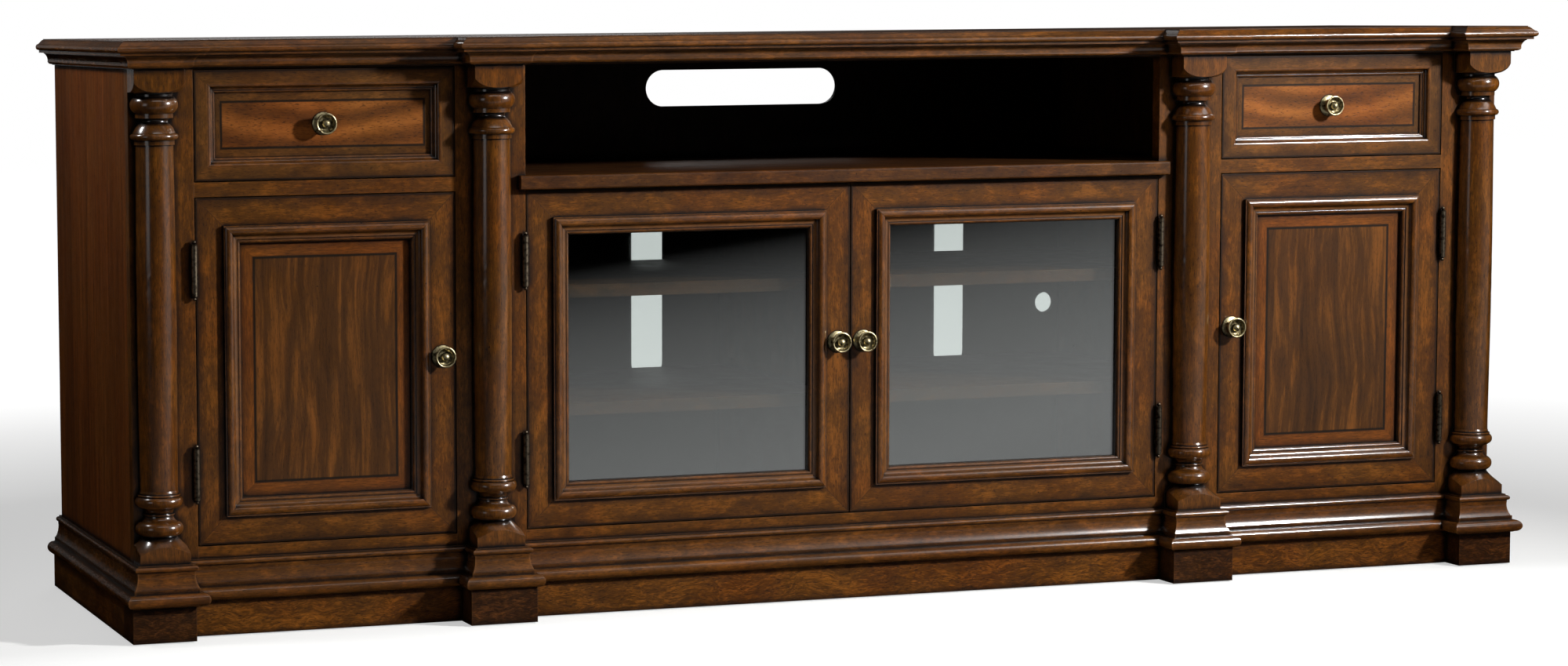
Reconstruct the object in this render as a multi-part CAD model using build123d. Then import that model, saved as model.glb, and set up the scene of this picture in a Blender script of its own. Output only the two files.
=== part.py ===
from build123d import *
import os

os.makedirs("parts", exist_ok=True)

# Overall sizes of the console, in millimetres
overall_height = 813.0
carcass_width = 2114.0
carcass_depth = 520.0
top_overhang = 28.0
top_thickness = 20.0
side_thickness = 18.0
partition_thickness = 18.0
centre_partition_thickness = 22.0
deck_thickness = 18.0
shelf_thickness = 18.0
back_panel_thickness = 8.0
back_rebate_width = 9.0

# Widths across the front: a wide centre between two bays
centre_opening_width = 984.0
inner_stile_width = 102.5
outer_stile_width = 90.5
frame_thickness = 20.0

# Heights up the front, from the floor
glide_thickness = 1.5
glide_radius = 8.0
plinth_height = 50.0
base_moulding_height = 57.0
bottom_rail_height = 73.5
mid_rail_height = 20.0
drawer_opening_height = 153.0
top_rail_height = 19.5
cornice_height = 18.0

# How far the mouldings stand out from the faces they follow
base_moulding_width = 22.5
cornice_width = 16.0

# Turned columns standing on the stiles
block_width = 70.0
block_projection = 40.0
column_axis_depth = 35.0
torus_radius = 33.0
shaft_swelling = 1.5
pommel_corner_height = 71.0
upper_pommel_drop = 36.0
lower_turning_height = 84.0
upper_turning_height = 84.0

# Plinth blocks and baseboards
inner_plinth_margin = 13.5
end_plinth_margin = 6.0
end_plinth_side_margin = 12.5
baseboard_thickness = 20.0
baseboard_projection = 10.0

# Doors
door_thickness = 22.0
reveal = 1.5
door_meeting_gap = 2.0
door_frame_width = 56.0
door_border = 38.0
bolection_width = 25.0
bolection_height = 16.5
panel_inset = 8.0
panel_thickness = 8.0
panel_tongue = 8.0
glass_thickness = 4.0
glass_bead_height = 8.0
panel_clearance = 1.0

# Drawers
drawer_front_thickness = 20.0
drawer_border = 18.5
drawer_recess = 11.0
drawer_moulding_width = 12.5
drawer_side_thickness = 12.0
drawer_box_length = 420.0
drawer_box_height = 110.0
drawer_box_lift = 13.5
drawer_bottom_thickness = 6.0
drawer_bottom_lift = 10.0
drawer_groove_depth = 5.0
drawer_side_board_thickness = 16.0
drawer_side_board_height = 139.5

# Drawer slides
slide_gap = 12.7
slide_length = 400.0
slide_height = 45.0
slide_gauge = 1.5
slide_clearance = 0.3
slide_flange_width = 9.5
slide_setback = 2.0

# Knobs
knob_radius = 15.5
knob_projection = 20.0
knob_ball_radius = 6.0
knob_from_edge = 19.0
knob_height_share = 0.521

# Hinges
hinge_end_distances = (99.5, 99.0)
hinge_barrel_length = 69.0
hinge_barrel_radius = 4.5
hinge_knuckles = 5
knuckle_clearance = 0.2
hinge_leaf_thickness = 1.5
hinge_leaf_width = 18.0
hinge_pin_radius = 1.5
pin_clearance = 0.05
finial_radius = 2.6
finial_height = 6.5
hinge_axis_outset = 2.2
hinge_face_gap = 0.3

# Shelves and their pins
centre_shelf_shares = (0.324, 0.674)
bay_shelf_share = 0.479
shelf_setback = 10.0
shelf_rear_gap = 12.0
shelf_side_clearance = 1.0
shelf_pin_radius = 2.5
shelf_pin_length = 16.0
shelf_pin_inset = 45.0
pin_hole_clearance = 0.05
pin_hole_pitch = 32.0

# Rails behind the plinth and under the top
rear_rail_thickness = 18.0
top_rear_rail_height = 20.0

# Front edge of the centre deck
deck_edge_projection = 14.0
deck_edge_ear = 11.0
deck_edge_round = 3.0

# Openings in the centre back panel
cable_slot_width = 320.0
cable_slot_height = 56.0
cable_slot_x = 30.0
cable_slot_drop = 46.5
vent_width = 54.0
vent_lower_margin = 151.5
vent_upper_margin = 40.5
vent_positions = (-128.0, 386.0)
wiring_hole_radius = 16.0
wiring_hole_x = 553.0
wiring_hole_share = 0.527

# Magnetic catches
catch_width = 40.0
catch_depth = 18.0
catch_height = 12.0
catch_setback = 2.5
catch_from_edge = 30.0

# Every cut runs past the faces it goes through by this much
overrun = 5.0

# Levels worked out from the heights above
plinth_top = plinth_height
base_moulding_top = plinth_top + base_moulding_height
door_opening_bottom = plinth_top + bottom_rail_height
top_underside = overall_height - top_thickness
drawer_opening_top = top_underside - top_rail_height
deck_top = drawer_opening_top - drawer_opening_height
door_opening_top = deck_top - mid_rail_height
door_opening_height = door_opening_top - door_opening_bottom
cornice_bottom = top_underside - cornice_height
bottom_panel_bottom = door_opening_bottom - deck_thickness
deck_bottom = deck_top - deck_thickness

# Levels set by the height of the door opening
hinge_heights = (
    door_opening_bottom + hinge_end_distances[0],
    door_opening_top - hinge_end_distances[1],
)
knob_height = door_opening_bottom + knob_height_share * door_opening_height
centre_shelf_heights = [
    door_opening_bottom + share * door_opening_height for share in centre_shelf_shares
]
bay_shelf_height = door_opening_bottom + bay_shelf_share * door_opening_height
vent_bottom = door_opening_bottom + vent_lower_margin
vent_top = door_opening_top - vent_upper_margin
wiring_hole_z = door_opening_bottom + wiring_hole_share * door_opening_height
cable_slot_z = drawer_opening_top - cable_slot_drop

# Depth positions, the origin under the middle of the console and the front towards minus Y
rear_y = (carcass_depth + top_overhang) / 2
block_y = rear_y - carcass_depth
face_y = block_y + block_projection
frame_back_y = face_y + frame_thickness
back_panel_y = rear_y - back_panel_thickness
rear_rail_y = back_panel_y - rear_rail_thickness
column_axis_y = block_y + column_axis_depth
shelf_front_y = frame_back_y + shelf_setback
shelf_back_y = back_panel_y - shelf_rear_gap
baseboard_y = face_y - baseboard_projection
baseboard_back_y = baseboard_y + baseboard_thickness

# Positions across the width, for the right half
side_x = carcass_width / 2
side_inner_x = side_x - side_thickness
centre_edge_x = centre_opening_width / 2
bay_inner_x = centre_edge_x + inner_stile_width
bay_outer_x = side_x - outer_stile_width
partition_inner_x = bay_inner_x - partition_thickness
back_joint_x = bay_inner_x - partition_thickness / 2
inner_column_x = centre_edge_x + inner_stile_width / 2
outer_column_x = side_x - block_width / 2
inner_block_in_x = inner_column_x - block_width / 2
inner_block_out_x = inner_column_x + block_width / 2
outer_block_in_x = outer_column_x - block_width / 2

# Section of the top's moulded edge, as shares of its overhang and thickness
top_edge_shares = [
    (0, 0),
    (0.825, 0),
    (0.825, 0.175),
    (0.835, 0.19),
    (0.9985, 0.416, 0.86, 0.64),
    (0.75, 0.8, 0.64, 0.93),
    (0.6, 0.93),
    (0.6, 1.0),
    (0, 1.0),
]
# Section of the cornice moulding under the top, as shares of its width and height
cornice_shares = [
    (0, 0),
    (0.22, 0),
    (0.22, 0.08),
    (0.5, 0.1, 0.62, 0.2),
    (0.66, 0.24),
    (0.7, 0.62, 0.95, 0.92),
    (1.0, 0.92),
    (1.0, 1.0),
    (0, 1.0),
]
# Section of the base moulding: a torus at the foot, a fillet, a long cove and a bead
base_moulding_shares = [
    (0, 0),
    (0.533, 0),
    (0.62, 0.018),
    (0.9985, 0.1715, 0.62, 0.325),
    (0.5, 0.335),
    (0.5, 0.433),
    (0.44, 0.433),
    (0.27, 0.6, 0.25, 0.82),
    (0.25, 0.842),
    (0.39, 0.905, 0.25, 0.968),
    (0.18, 0.968),
    (0.18, 1.0),
    (0, 1.0),
]
# Section of the raised moulding round a door panel, inwards from its outer edge;
# it laps over the face of the frame and reaches down to the panel
lap_share = (door_frame_width - door_border) / bolection_width
face_share = panel_inset / bolection_height
bolection_shares = [
    (lap_share, 0),
    (1.0, 0),
    (1.0, 0.26),
    (0.96, 0.26),
    (0.93, 0.42, 0.8, 0.47),
    (0.76, 0.47),
    (0.76, 0.54),
    (0.58, 0.61, 0.48, 0.82),
    (0.48, 0.87),
    (0.28, 0.998, 0.08, 0.87),
    (0.08, 0.82),
    (0, 0.82),
    (0, face_share),
    (lap_share, face_share),
]
# Section of the sunk moulding round a drawer field, inwards from the border
drawer_moulding_shares = [
    (0, 0),
    (1.0, 0),
    (1.0, 0.1),
    (0.92, 0.24, 0.74, 0.28),
    (0.7, 0.28),
    (0.7, 0.36),
    (0.46, 0.5, 0.34, 0.82),
    (0.34, 0.88),
    (0.22, 0.968, 0.08, 1.0),
    (0, 1.0),
]
# Profile of the lower turning, radius by torus radius and height by turning height:
# pommel, torus, flared neck, bead, torus and two fillets under the shaft
lower_turning_shares = [
    (1.5, 0),
    (1.06, 0.119, 0.758, 0.244),
    (0.727, 0.256),
    (0.788, 0.262),
    (1.0, 0.398, 0.8, 0.494),
    (0.758, 0.494),
    (0.636, 0.536, 0.591, 0.589),
    (0.645, 0.607, 0.591, 0.625),
    (0.576, 0.625),
    (0.621, 0.679, 0.803, 0.72),
    (0.833, 0.726),
    (0.848, 0.732),
    (1.0, 0.833, 0.894, 0.899),
    (0.864, 0.899),
    (0.897, 0.92, 0.864, 0.94),
    (0.818, 0.94),
    (0.818, 0.97),
    (0.788, 1.0),
]
# Profile of the upper turning in the same shares
upper_turning_shares = [
    (0.788, 0),
    (0.848, 0),
    (0.848, 0.071),
    (0.864, 0.077),
    (1.0, 0.131, 0.894, 0.185),
    (0.8, 0.265, 0.606, 0.351),
    (0.576, 0.387, 0.621, 0.423),
    (0.803, 0.429),
    (0.803, 0.5),
    (0.833, 0.506),
    (1.0, 0.643, 0.818, 0.774),
    (0.788, 0.774),
    (0.788, 0.81),
    (1.06, 0.839),
    (1.333, 0.905, 1.5, 1.0),
]
# Profile of a dished knob, radius by knob radius and height by projection
knob_shares = [
    (0, 0),
    (1.0, 0),
    (1.0, 0.07),
    (0.8, 0.15, 0.42, 0.18),
    (0.36, 0.36, 0.5, 0.5),
    (0.82, 0.58, 0.9, 0.78),
    (0.87, 0.92, 0.8, 0.9),
    (0.62, 0.66, 0.38, 0.64),
    (0, 0.64),
]
# Profile of the collar and neck under the ball on the end of a hinge pin
finial_shares = [
    (0, 0),
    (1.5, 0),
    (1.5, 0.16),
    (0.6, 0.3),
    (0.6, 0.6),
    (0, 0.6),
]


def slab(x0, x1, y0, y1, z0, z1):
    # A board between two opposite corners
    board = Box(abs(x1 - x0), abs(y1 - y0), abs(z1 - z0), align=(Align.MIN, Align.MIN, Align.MIN))
    return Pos(min(x0, x1), min(y0, y1), min(z0, z1)) * board


def both_sides(shape):
    # A piece and its twin on the other side of the middle
    return [shape, mirror(shape, about=Plane.YZ)]


def scaled(shares, width, height, lift=0):
    # Rows in millimetres from shares of a width and a height
    rows = []
    for share in shares:
        row = [value * width for value in share]
        row[1::2] = [lift + value * height for value in share[1::2]]
        rows.append(tuple(row))
    return rows


def closed_face(rows):
    # A face closed round its rows: pairs end straight lines, fours end arcs through a point
    points = [row[-2:] for row in rows]
    edges = []
    for row, start, end in zip(rows[1:], points, points[1:]):
        if len(row) > 2:
            edges.append(ThreePointArc(start, row[:2], end))
        else:
            edges.append(Line(start, end))
    edges.append(Line(points[-1], points[0]))
    return make_face(edges)


def outline(width, height, shares, lift=0):
    # A closed section drawn from shares
    return closed_face(scaled(shares, width, height, lift))


def mitred_runs(path, section, reach, low, high, plane, closed=False):
    # Mitred lengths of one section, lying to the left of a path with square corners
    count = len(path) if closed else len(path) - 1
    stretches = [(path[i], path[(i + 1) % len(path)]) for i in range(count)]
    ways = []
    for (ax, ay), (bx, by) in stretches:
        length = abs(bx - ax) + abs(by - ay)
        ways.append(((bx - ax) / length, (by - ay) / length, length))
    lefts = [(-dy, dx) for dx, dy, length in ways]
    runs = []
    for i, ((ax, ay), (bx, by)) in enumerate(stretches):
        dx, dy, length = ways[i]
        lx, ly = lefts[i]
        px, py = lefts[i - 1] if closed or i > 0 else (0, 0)
        nx, ny = lefts[(i + 1) % count] if closed or i < count - 1 else (0, 0)
        far_a = (ax + reach * (lx + px), ay + reach * (ly + py))
        far_b = (bx + reach * (lx + nx), by + reach * (ly + ny))
        corners = Polyline((ax, ay), (bx, by), far_b, far_a, close=True)
        zone = Pos(0, 0, low) * extrude(make_face(corners), high - low)
        start = (ax - reach * dx, ay - reach * dy, 0)
        bar_plane = Plane(origin=start, x_dir=(lx, ly, 0), z_dir=(dx, dy, 0))
        bar = extrude(bar_plane * section, length + 2 * reach)
        runs.append(plane * (bar & zone))
    return runs


def rectangle_path(x0, x1, z0, z1):
    # Corners of an upright rectangle seen from the front, with its inside to the left
    return [(x0, z0), (x1, z0), (x1, z1), (x0, z1)]


def front_plane(y):
    # A plane facing forward, so that sections rise towards the viewer
    return Plane(origin=(0, y, 0), x_dir=(1, 0, 0), z_dir=(0, -1, 0))


def save(name, *pieces):
    # One file for each named node, its solids kept apart
    solids = []
    for piece in pieces:
        solids.extend(piece.solids())
    shape = solids[0] if len(solids) == 1 else Compound(solids)
    export_step(shape, f"parts/{name}.step")


# The line that the top, the cornice and the base moulding follow round the front
half_path = [
    (side_x, rear_y),
    (side_x, block_y),
    (outer_block_in_x, block_y),
    (outer_block_in_x, face_y),
    (inner_block_out_x, face_y),
    (inner_block_out_x, block_y),
    (inner_block_in_x, block_y),
    (inner_block_in_x, face_y),
]
plan_path = half_path + [(-x, y) for x, y in reversed(half_path)]

# Top board with its moulded edge
top_section = outline(top_overhang, top_thickness, top_edge_shares, top_underside)
top_core = extrude(make_face(Polyline(*plan_path, close=True)), top_thickness)
top_board = Pos(0, 0, top_underside) * top_core
for run in mitred_runs(plan_path, top_section, top_overhang, top_underside, overall_height, Plane.XY):
    top_board = top_board + run
save("top_board", top_board)

# Cornice and base mouldings in mitred lengths
cornice_section = outline(cornice_width, cornice_height, cornice_shares, cornice_bottom)
cornice = mitred_runs(plan_path, cornice_section, cornice_width, cornice_bottom, top_underside, Plane.XY)
save("cornice_moulding", *cornice)
base_section = outline(base_moulding_width, base_moulding_height, base_moulding_shares, plinth_top)
base_runs = mitred_runs(
    plan_path, base_section, base_moulding_width, plinth_top, base_moulding_top, Plane.XY
)
save("base_moulding", *base_runs)


# Turned columns: square blocks with rounded pommels, cut flat at the back
lower_turning_base = plinth_top + pommel_corner_height
upper_turning_top = top_underside - upper_pommel_drop
upper_turning_base = upper_turning_top - upper_turning_height
lower_turning = scaled(lower_turning_shares, torus_radius, lower_turning_height, lower_turning_base)
upper_turning = scaled(upper_turning_shares, torus_radius, upper_turning_height, upper_turning_base)
# The shaft swells a little towards its middle
shaft_foot, shaft_head = lower_turning[-1], upper_turning[0]
swell_radius = max(shaft_foot[0], shaft_head[0]) + shaft_swelling
swell_height = (shaft_foot[1] + shaft_head[1]) / 2
column_profile = (
    [(0, plinth_top), (block_width, plinth_top), (block_width, lower_turning_base)]
    + lower_turning
    + [(swell_radius, swell_height, *shaft_head)]
    + upper_turning[1:]
    + [(block_width, upper_turning_top), (block_width, top_underside), (0, top_underside)]
)
turned = revolve(Plane.XZ * closed_face(column_profile), axis=Axis.Z)
half_block = block_width / 2
column_back = face_y - column_axis_y
square_bar = slab(-half_block, half_block, -half_block, column_back, plinth_top, top_underside)
column = turned & square_bar
columns = []
for column_x in (-outer_column_x, -inner_column_x, inner_column_x, outer_column_x):
    columns.append(Pos(column_x, column_axis_y, 0) * column)
save("turned_columns", *columns)

# Plinth blocks under the columns and the boards between them
inner_plinth_in_x = inner_block_in_x - inner_plinth_margin
inner_plinth_out_x = inner_block_out_x + inner_plinth_margin
end_plinth_in_x = outer_block_in_x - end_plinth_margin
end_plinth_out_x = side_x + end_plinth_side_margin
inner_plinth_y = block_y - inner_plinth_margin
end_plinth_y = block_y - end_plinth_margin
inner_plinth = slab(
    inner_plinth_in_x, inner_plinth_out_x, inner_plinth_y, baseboard_back_y, glide_thickness, plinth_top
)
end_plinth = slab(
    end_plinth_in_x, end_plinth_out_x, end_plinth_y, baseboard_back_y, glide_thickness, plinth_top
)
save("plinth_blocks", *both_sides(inner_plinth), *both_sides(end_plinth))
bay_baseboard = slab(
    inner_plinth_out_x, end_plinth_in_x, baseboard_y, baseboard_back_y, glide_thickness, plinth_top
)
side_baseboard = slab(
    end_plinth_out_x - baseboard_thickness,
    end_plinth_out_x,
    baseboard_back_y,
    rear_y,
    glide_thickness,
    plinth_top,
)
centre_baseboard = slab(
    -inner_plinth_in_x, inner_plinth_in_x, baseboard_y, baseboard_back_y, glide_thickness, plinth_top
)
save("baseboards", *both_sides(bay_baseboard), *both_sides(side_baseboard), centre_baseboard)


# Butt hinges: leaves let into the stiles and the door edges
def knuckle(axis_x, hinge_z, index):
    pitch = hinge_barrel_length / hinge_knuckles
    low = hinge_z - hinge_barrel_length / 2 + index * pitch + knuckle_clearance / 2
    height = pitch - knuckle_clearance
    barrel = Cylinder(hinge_barrel_radius, height, align=(Align.CENTER, Align.CENTER, Align.MIN))
    return Pos(axis_x, hinge_axis_y, low) * barrel, low, low + height


def leaf_slab(x0, x1, hinge_z):
    low = hinge_z - hinge_barrel_length / 2
    return slab(x0, x1, face_y, face_y + hinge_leaf_width, low, low + hinge_barrel_length)


def hinge_leaf(axis_x, x0, x1, hinge_z, indices):
    # A leaf with its share of the knuckles, joined by a lug in front of the face
    leaf = leaf_slab(x0, x1, hinge_z)
    for index in indices:
        barrel, low, high = knuckle(axis_x, hinge_z, index)
        leaf = leaf + barrel + slab(x0, x1, hinge_axis_y, face_y, low, high)
    bore = Cylinder(hinge_pin_radius + pin_clearance, 2 * hinge_barrel_length)
    return leaf - Pos(axis_x, hinge_axis_y, hinge_z) * bore


hinge_axis_y = face_y - hinge_face_gap - hinge_barrel_radius
finial_ball = Pos(0, 0, finial_height - finial_radius) * Sphere(finial_radius)
finial_neck = revolve(Plane.XZ * outline(finial_radius, finial_height, finial_shares), axis=Axis.Z)
finial = finial_neck + finial_ball
hinge_pin = Cylinder(hinge_pin_radius, hinge_barrel_length)
upper_finial = Pos(0, 0, hinge_barrel_length / 2) * finial
hinge_pin = hinge_pin + upper_finial + mirror(upper_finial, about=Plane.XY)
# Opening edge, door edge and hinge axis for each kind of door on the right half
hinge_lines = {
    "bay": (bay_outer_x, bay_outer_x - reveal, bay_outer_x + hinge_axis_outset),
    "glass": (centre_edge_x, centre_edge_x - reveal, centre_edge_x + hinge_axis_outset),
}
fixed_leaves = []
pins = []
stile_mortises = []
door_mortises = {"bay": [], "glass": []}
door_leaves = {"bay": [], "glass": []}
for kind, (opening_x, door_x, axis_x) in hinge_lines.items():
    for hinge_z in hinge_heights:
        fixed_in, fixed_out = opening_x, opening_x + hinge_leaf_thickness
        moving_in, moving_out = door_x - hinge_leaf_thickness, door_x
        fixed = hinge_leaf(axis_x, fixed_in, fixed_out, hinge_z, range(0, hinge_knuckles, 2))
        moving = hinge_leaf(axis_x, moving_in, moving_out, hinge_z, range(1, hinge_knuckles, 2))
        fixed_leaves.extend(both_sides(fixed))
        pins.extend(both_sides(Pos(axis_x, hinge_axis_y, hinge_z) * hinge_pin))
        stile_mortises.append(leaf_slab(fixed_in, fixed_out, hinge_z))
        door_mortises[kind].append(leaf_slab(moving_in, moving_out, hinge_z))
        door_leaves[kind].append(moving)
save("hinge_fixed_leaves", *fixed_leaves)
save("hinge_pins", *pins)

# Face frame of four stiles and eight rails
inner_stile = slab(centre_edge_x, bay_inner_x, face_y, frame_back_y, plinth_top, top_underside)
outer_stile = slab(bay_outer_x, side_x, face_y, frame_back_y, plinth_top, top_underside)
for mortise in stile_mortises:
    inner_stile = inner_stile - mortise
    outer_stile = outer_stile - mortise
frame_pieces = both_sides(inner_stile) + both_sides(outer_stile)
for rail_low, rail_high in (
    (plinth_top, door_opening_bottom),
    (door_opening_top, deck_top),
    (drawer_opening_top, top_underside),
):
    frame_pieces += both_sides(slab(bay_inner_x, bay_outer_x, face_y, frame_back_y, rail_low, rail_high))
for rail_low, rail_high in ((plinth_top, door_opening_bottom), (drawer_opening_top, top_underside)):
    frame_pieces.append(
        slab(-centre_edge_x, centre_edge_x, face_y, frame_back_y, rail_low, rail_high)
    )
save("face_frame", *frame_pieces)

# Front edge of the open centre deck, with short ears over the stiles
edge_front_y = face_y - deck_edge_projection
ear_x = centre_edge_x + deck_edge_ear
deck_edge = slab(-centre_edge_x, centre_edge_x, edge_front_y, frame_back_y, door_opening_top, deck_top)
deck_edge = deck_edge + slab(-ear_x, ear_x, edge_front_y, face_y, door_opening_top, deck_top)
nose_edges = deck_edge.edges().filter_by(Axis.X).group_by(Axis.Y)[0]
deck_edge = fillet(nose_edges, deck_edge_round)
save("deck_front_edge", deck_edge)

# Shelf pins and the holes they stand in
pin_holes = []
pins_for_shelves = []
pin_y_positions = (shelf_front_y + shelf_pin_inset, shelf_back_y - shelf_pin_inset)


def shelf_pin_set(wall_x, shelf_z):
    # Pins in one wall for one shelf, with spare holes above and below
    pin_z = shelf_z - shelf_pin_radius
    for pin_y in pin_y_positions:
        pin = Rot(0, 90, 0) * Cylinder(shelf_pin_radius, shelf_pin_length)
        pins_for_shelves.append(Pos(wall_x, pin_y, pin_z) * pin)
        for step in (-1, 0, 1):
            hole = Rot(0, 90, 0) * Cylinder(shelf_pin_radius + pin_hole_clearance, shelf_pin_length)
            pin_holes.append(Pos(wall_x, pin_y, pin_z + step * pin_hole_pitch) * hole)


shelves = []
for shelf_z in centre_shelf_heights:
    for way in (-1, 1):
        inner_x = way * centre_partition_thickness / 2
        outer_x = way * partition_inner_x
        shelf_pin_set(inner_x, shelf_z)
        shelf_pin_set(outer_x, shelf_z)
        shelves.append(
            slab(
                inner_x + way * shelf_side_clearance,
                outer_x - way * shelf_side_clearance,
                shelf_front_y,
                shelf_back_y,
                shelf_z,
                shelf_z + shelf_thickness,
            )
        )
for way in (-1, 1):
    inner_x = way * bay_inner_x
    outer_x = way * side_inner_x
    shelf_pin_set(inner_x, bay_shelf_height)
    shelf_pin_set(outer_x, bay_shelf_height)
    shelves.append(
        slab(
            inner_x + way * shelf_side_clearance,
            outer_x - way * shelf_side_clearance,
            shelf_front_y,
            shelf_back_y,
            bay_shelf_height,
            bay_shelf_height + shelf_thickness,
        )
    )
save("adjustable_shelves", *shelves)
save("shelf_pins", *pins_for_shelves)


def drilled(board):
    # A board with the pin holes that reach into it
    box = board.bounding_box()
    for hole in pin_holes:
        centre = hole.center()
        near_x = box.min.X - shelf_pin_length < centre.X < box.max.X + shelf_pin_length
        if near_x and box.min.Z < centre.Z < box.max.Z:
            board = board - hole
    return board


# Sides, partitions and horizontal boards of the carcass
side_panel = slab(side_inner_x, side_x, frame_back_y, rear_y, plinth_top, top_underside)
rebate = slab(
    side_inner_x,
    side_inner_x + back_rebate_width,
    back_panel_y,
    rear_y,
    plinth_top,
    top_underside,
)
side_panel = side_panel - rebate
save("side_panels", *[drilled(panel) for panel in both_sides(side_panel)])
bay_partition = slab(
    partition_inner_x, bay_inner_x, frame_back_y, back_panel_y, door_opening_bottom, top_underside
)
half_centre_partition = centre_partition_thickness / 2
centre_partition = slab(
    -half_centre_partition,
    half_centre_partition,
    shelf_front_y,
    back_panel_y,
    door_opening_bottom,
    deck_bottom,
)
partitions = both_sides(bay_partition) + [centre_partition]
save("partitions", *[drilled(partition) for partition in partitions])
bottom_panel = slab(
    -side_inner_x, side_inner_x, frame_back_y, back_panel_y, bottom_panel_bottom, door_opening_bottom
)
save("bottom_panel", bottom_panel)
centre_deck = slab(
    -partition_inner_x, partition_inner_x, frame_back_y, back_panel_y, deck_bottom, deck_top
)
save("centre_deck", centre_deck)
bay_deck = slab(bay_inner_x, side_inner_x, frame_back_y, back_panel_y, deck_bottom, deck_top)
save("bay_decks", *both_sides(bay_deck))
drawer_side_board = slab(
    bay_outer_x,
    bay_outer_x + drawer_side_board_thickness,
    frame_back_y,
    frame_back_y + drawer_box_length,
    deck_top,
    deck_top + drawer_side_board_height,
)
save("drawer_side_boards", *both_sides(drawer_side_board))

# Rails at the back and bearers under the bottom panel
base_rail = slab(
    -side_inner_x, side_inner_x, rear_rail_y, back_panel_y, glide_thickness, bottom_panel_bottom
)
bay_bearer = slab(
    partition_inner_x, bay_inner_x, frame_back_y, rear_rail_y, glide_thickness, bottom_panel_bottom
)
centre_bearer = slab(
    -half_centre_partition,
    half_centre_partition,
    frame_back_y,
    rear_rail_y,
    glide_thickness,
    bottom_panel_bottom,
)
top_rail_bottom = top_underside - top_rear_rail_height
centre_top_rail = slab(
    -partition_inner_x, partition_inner_x, rear_rail_y, back_panel_y, top_rail_bottom, top_underside
)
bay_top_rail = slab(
    bay_inner_x, side_inner_x, rear_rail_y, back_panel_y, top_rail_bottom, top_underside
)
bearers = both_sides(bay_bearer) + [centre_bearer]
top_rails = both_sides(bay_top_rail) + [centre_top_rail]
save("carcass_rails", base_rail, *bearers, *top_rails)

# Back panels; the centre one has a cable slot, two vents and a wiring hole
back_low = bottom_panel_bottom - deck_thickness
bay_back = slab(
    back_joint_x, side_inner_x + back_rebate_width, back_panel_y, rear_y, back_low, top_underside
)
save("bay_back_panels", *both_sides(bay_back))
centre_back = slab(-back_joint_x, back_joint_x, back_panel_y, rear_y, back_low, top_underside)
cut_plane = front_plane(rear_y + overrun)
cut_depth = back_panel_thickness + 2 * overrun
vent_height = vent_top - vent_bottom
vent_z = (vent_top + vent_bottom) / 2
cable_slot = Pos(cable_slot_x, cable_slot_z) * SlotOverall(cable_slot_width, cable_slot_height)
centre_back = centre_back - extrude(cut_plane * cable_slot, cut_depth)
for vent_x in vent_positions:
    vent = Pos(vent_x, vent_z) * Rot(0, 0, 90) * SlotOverall(vent_height, vent_width)
    centre_back = centre_back - extrude(cut_plane * vent, cut_depth)
wiring_hole = Pos(wiring_hole_x, wiring_hole_z) * Circle(wiring_hole_radius)
centre_back = centre_back - extrude(cut_plane * wiring_hole, cut_depth)
save("centre_back_panel", centre_back)

# Door catches under the decks and floor glides under the plinth
catch_y = frame_back_y + catch_setback
catches = []
for catch_x in (bay_inner_x + catch_from_edge, half_centre_partition + catch_from_edge):
    catches += both_sides(
        slab(
            catch_x,
            catch_x + catch_width,
            catch_y,
            catch_y + catch_depth,
            deck_bottom - catch_height,
            deck_bottom,
        )
    )
save("door_catches", *catches)
glides = []
rear_glide_y = rear_rail_y + rear_rail_thickness / 2
front_glide_y = (block_y + baseboard_back_y) / 2
glide = Cylinder(glide_radius, glide_thickness, align=(Align.CENTER, Align.CENTER, Align.MIN))
for glide_x in (inner_column_x, outer_column_x - side_thickness):
    for glide_y in (front_glide_y, rear_glide_y):
        glides += both_sides(Pos(glide_x, glide_y, 0) * glide)
save("floor_glides", *glides)

# Knob turned about the line that it projects along, with a ball in its dish
knob_turning = revolve(Plane.XZ * outline(knob_radius, knob_projection, knob_shares), axis=Axis.Z)
knob_ball = Pos(0, 0, knob_projection - knob_ball_radius) * Sphere(knob_ball_radius)
forward_knob = Rot(90, 0, 0) * (knob_turning + knob_ball)

# Sections of the door members, from the outer edge inwards and from the face back
panel_back = panel_inset + panel_thickness
groove_u = door_frame_width - panel_tongue
panel_door_section = make_face(
    Polyline(
        (0, 0),
        (0, -door_thickness),
        (door_frame_width, -door_thickness),
        (door_frame_width, -panel_back),
        (groove_u, -panel_back),
        (groove_u, -panel_inset),
        (door_frame_width, -panel_inset),
        (door_frame_width, 0),
        close=True,
    )
)
glass_door_section = make_face(
    Polyline(
        (0, 0),
        (0, -door_thickness),
        (groove_u, -door_thickness),
        (groove_u, -panel_inset),
        (door_frame_width, -panel_inset),
        (door_frame_width, 0),
        close=True,
    )
)
glass_back = panel_inset + glass_thickness
bead_section = make_face(
    Polyline(
        (0, -glass_back),
        (0, -glass_back - glass_bead_height),
        (panel_tongue, -glass_back - glass_bead_height),
        (panel_tongue, -glass_back),
        close=True,
    )
)
bolection_section = outline(bolection_width, bolection_height, bolection_shares, -panel_inset)
bolection_rise = bolection_height - panel_inset


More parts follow.
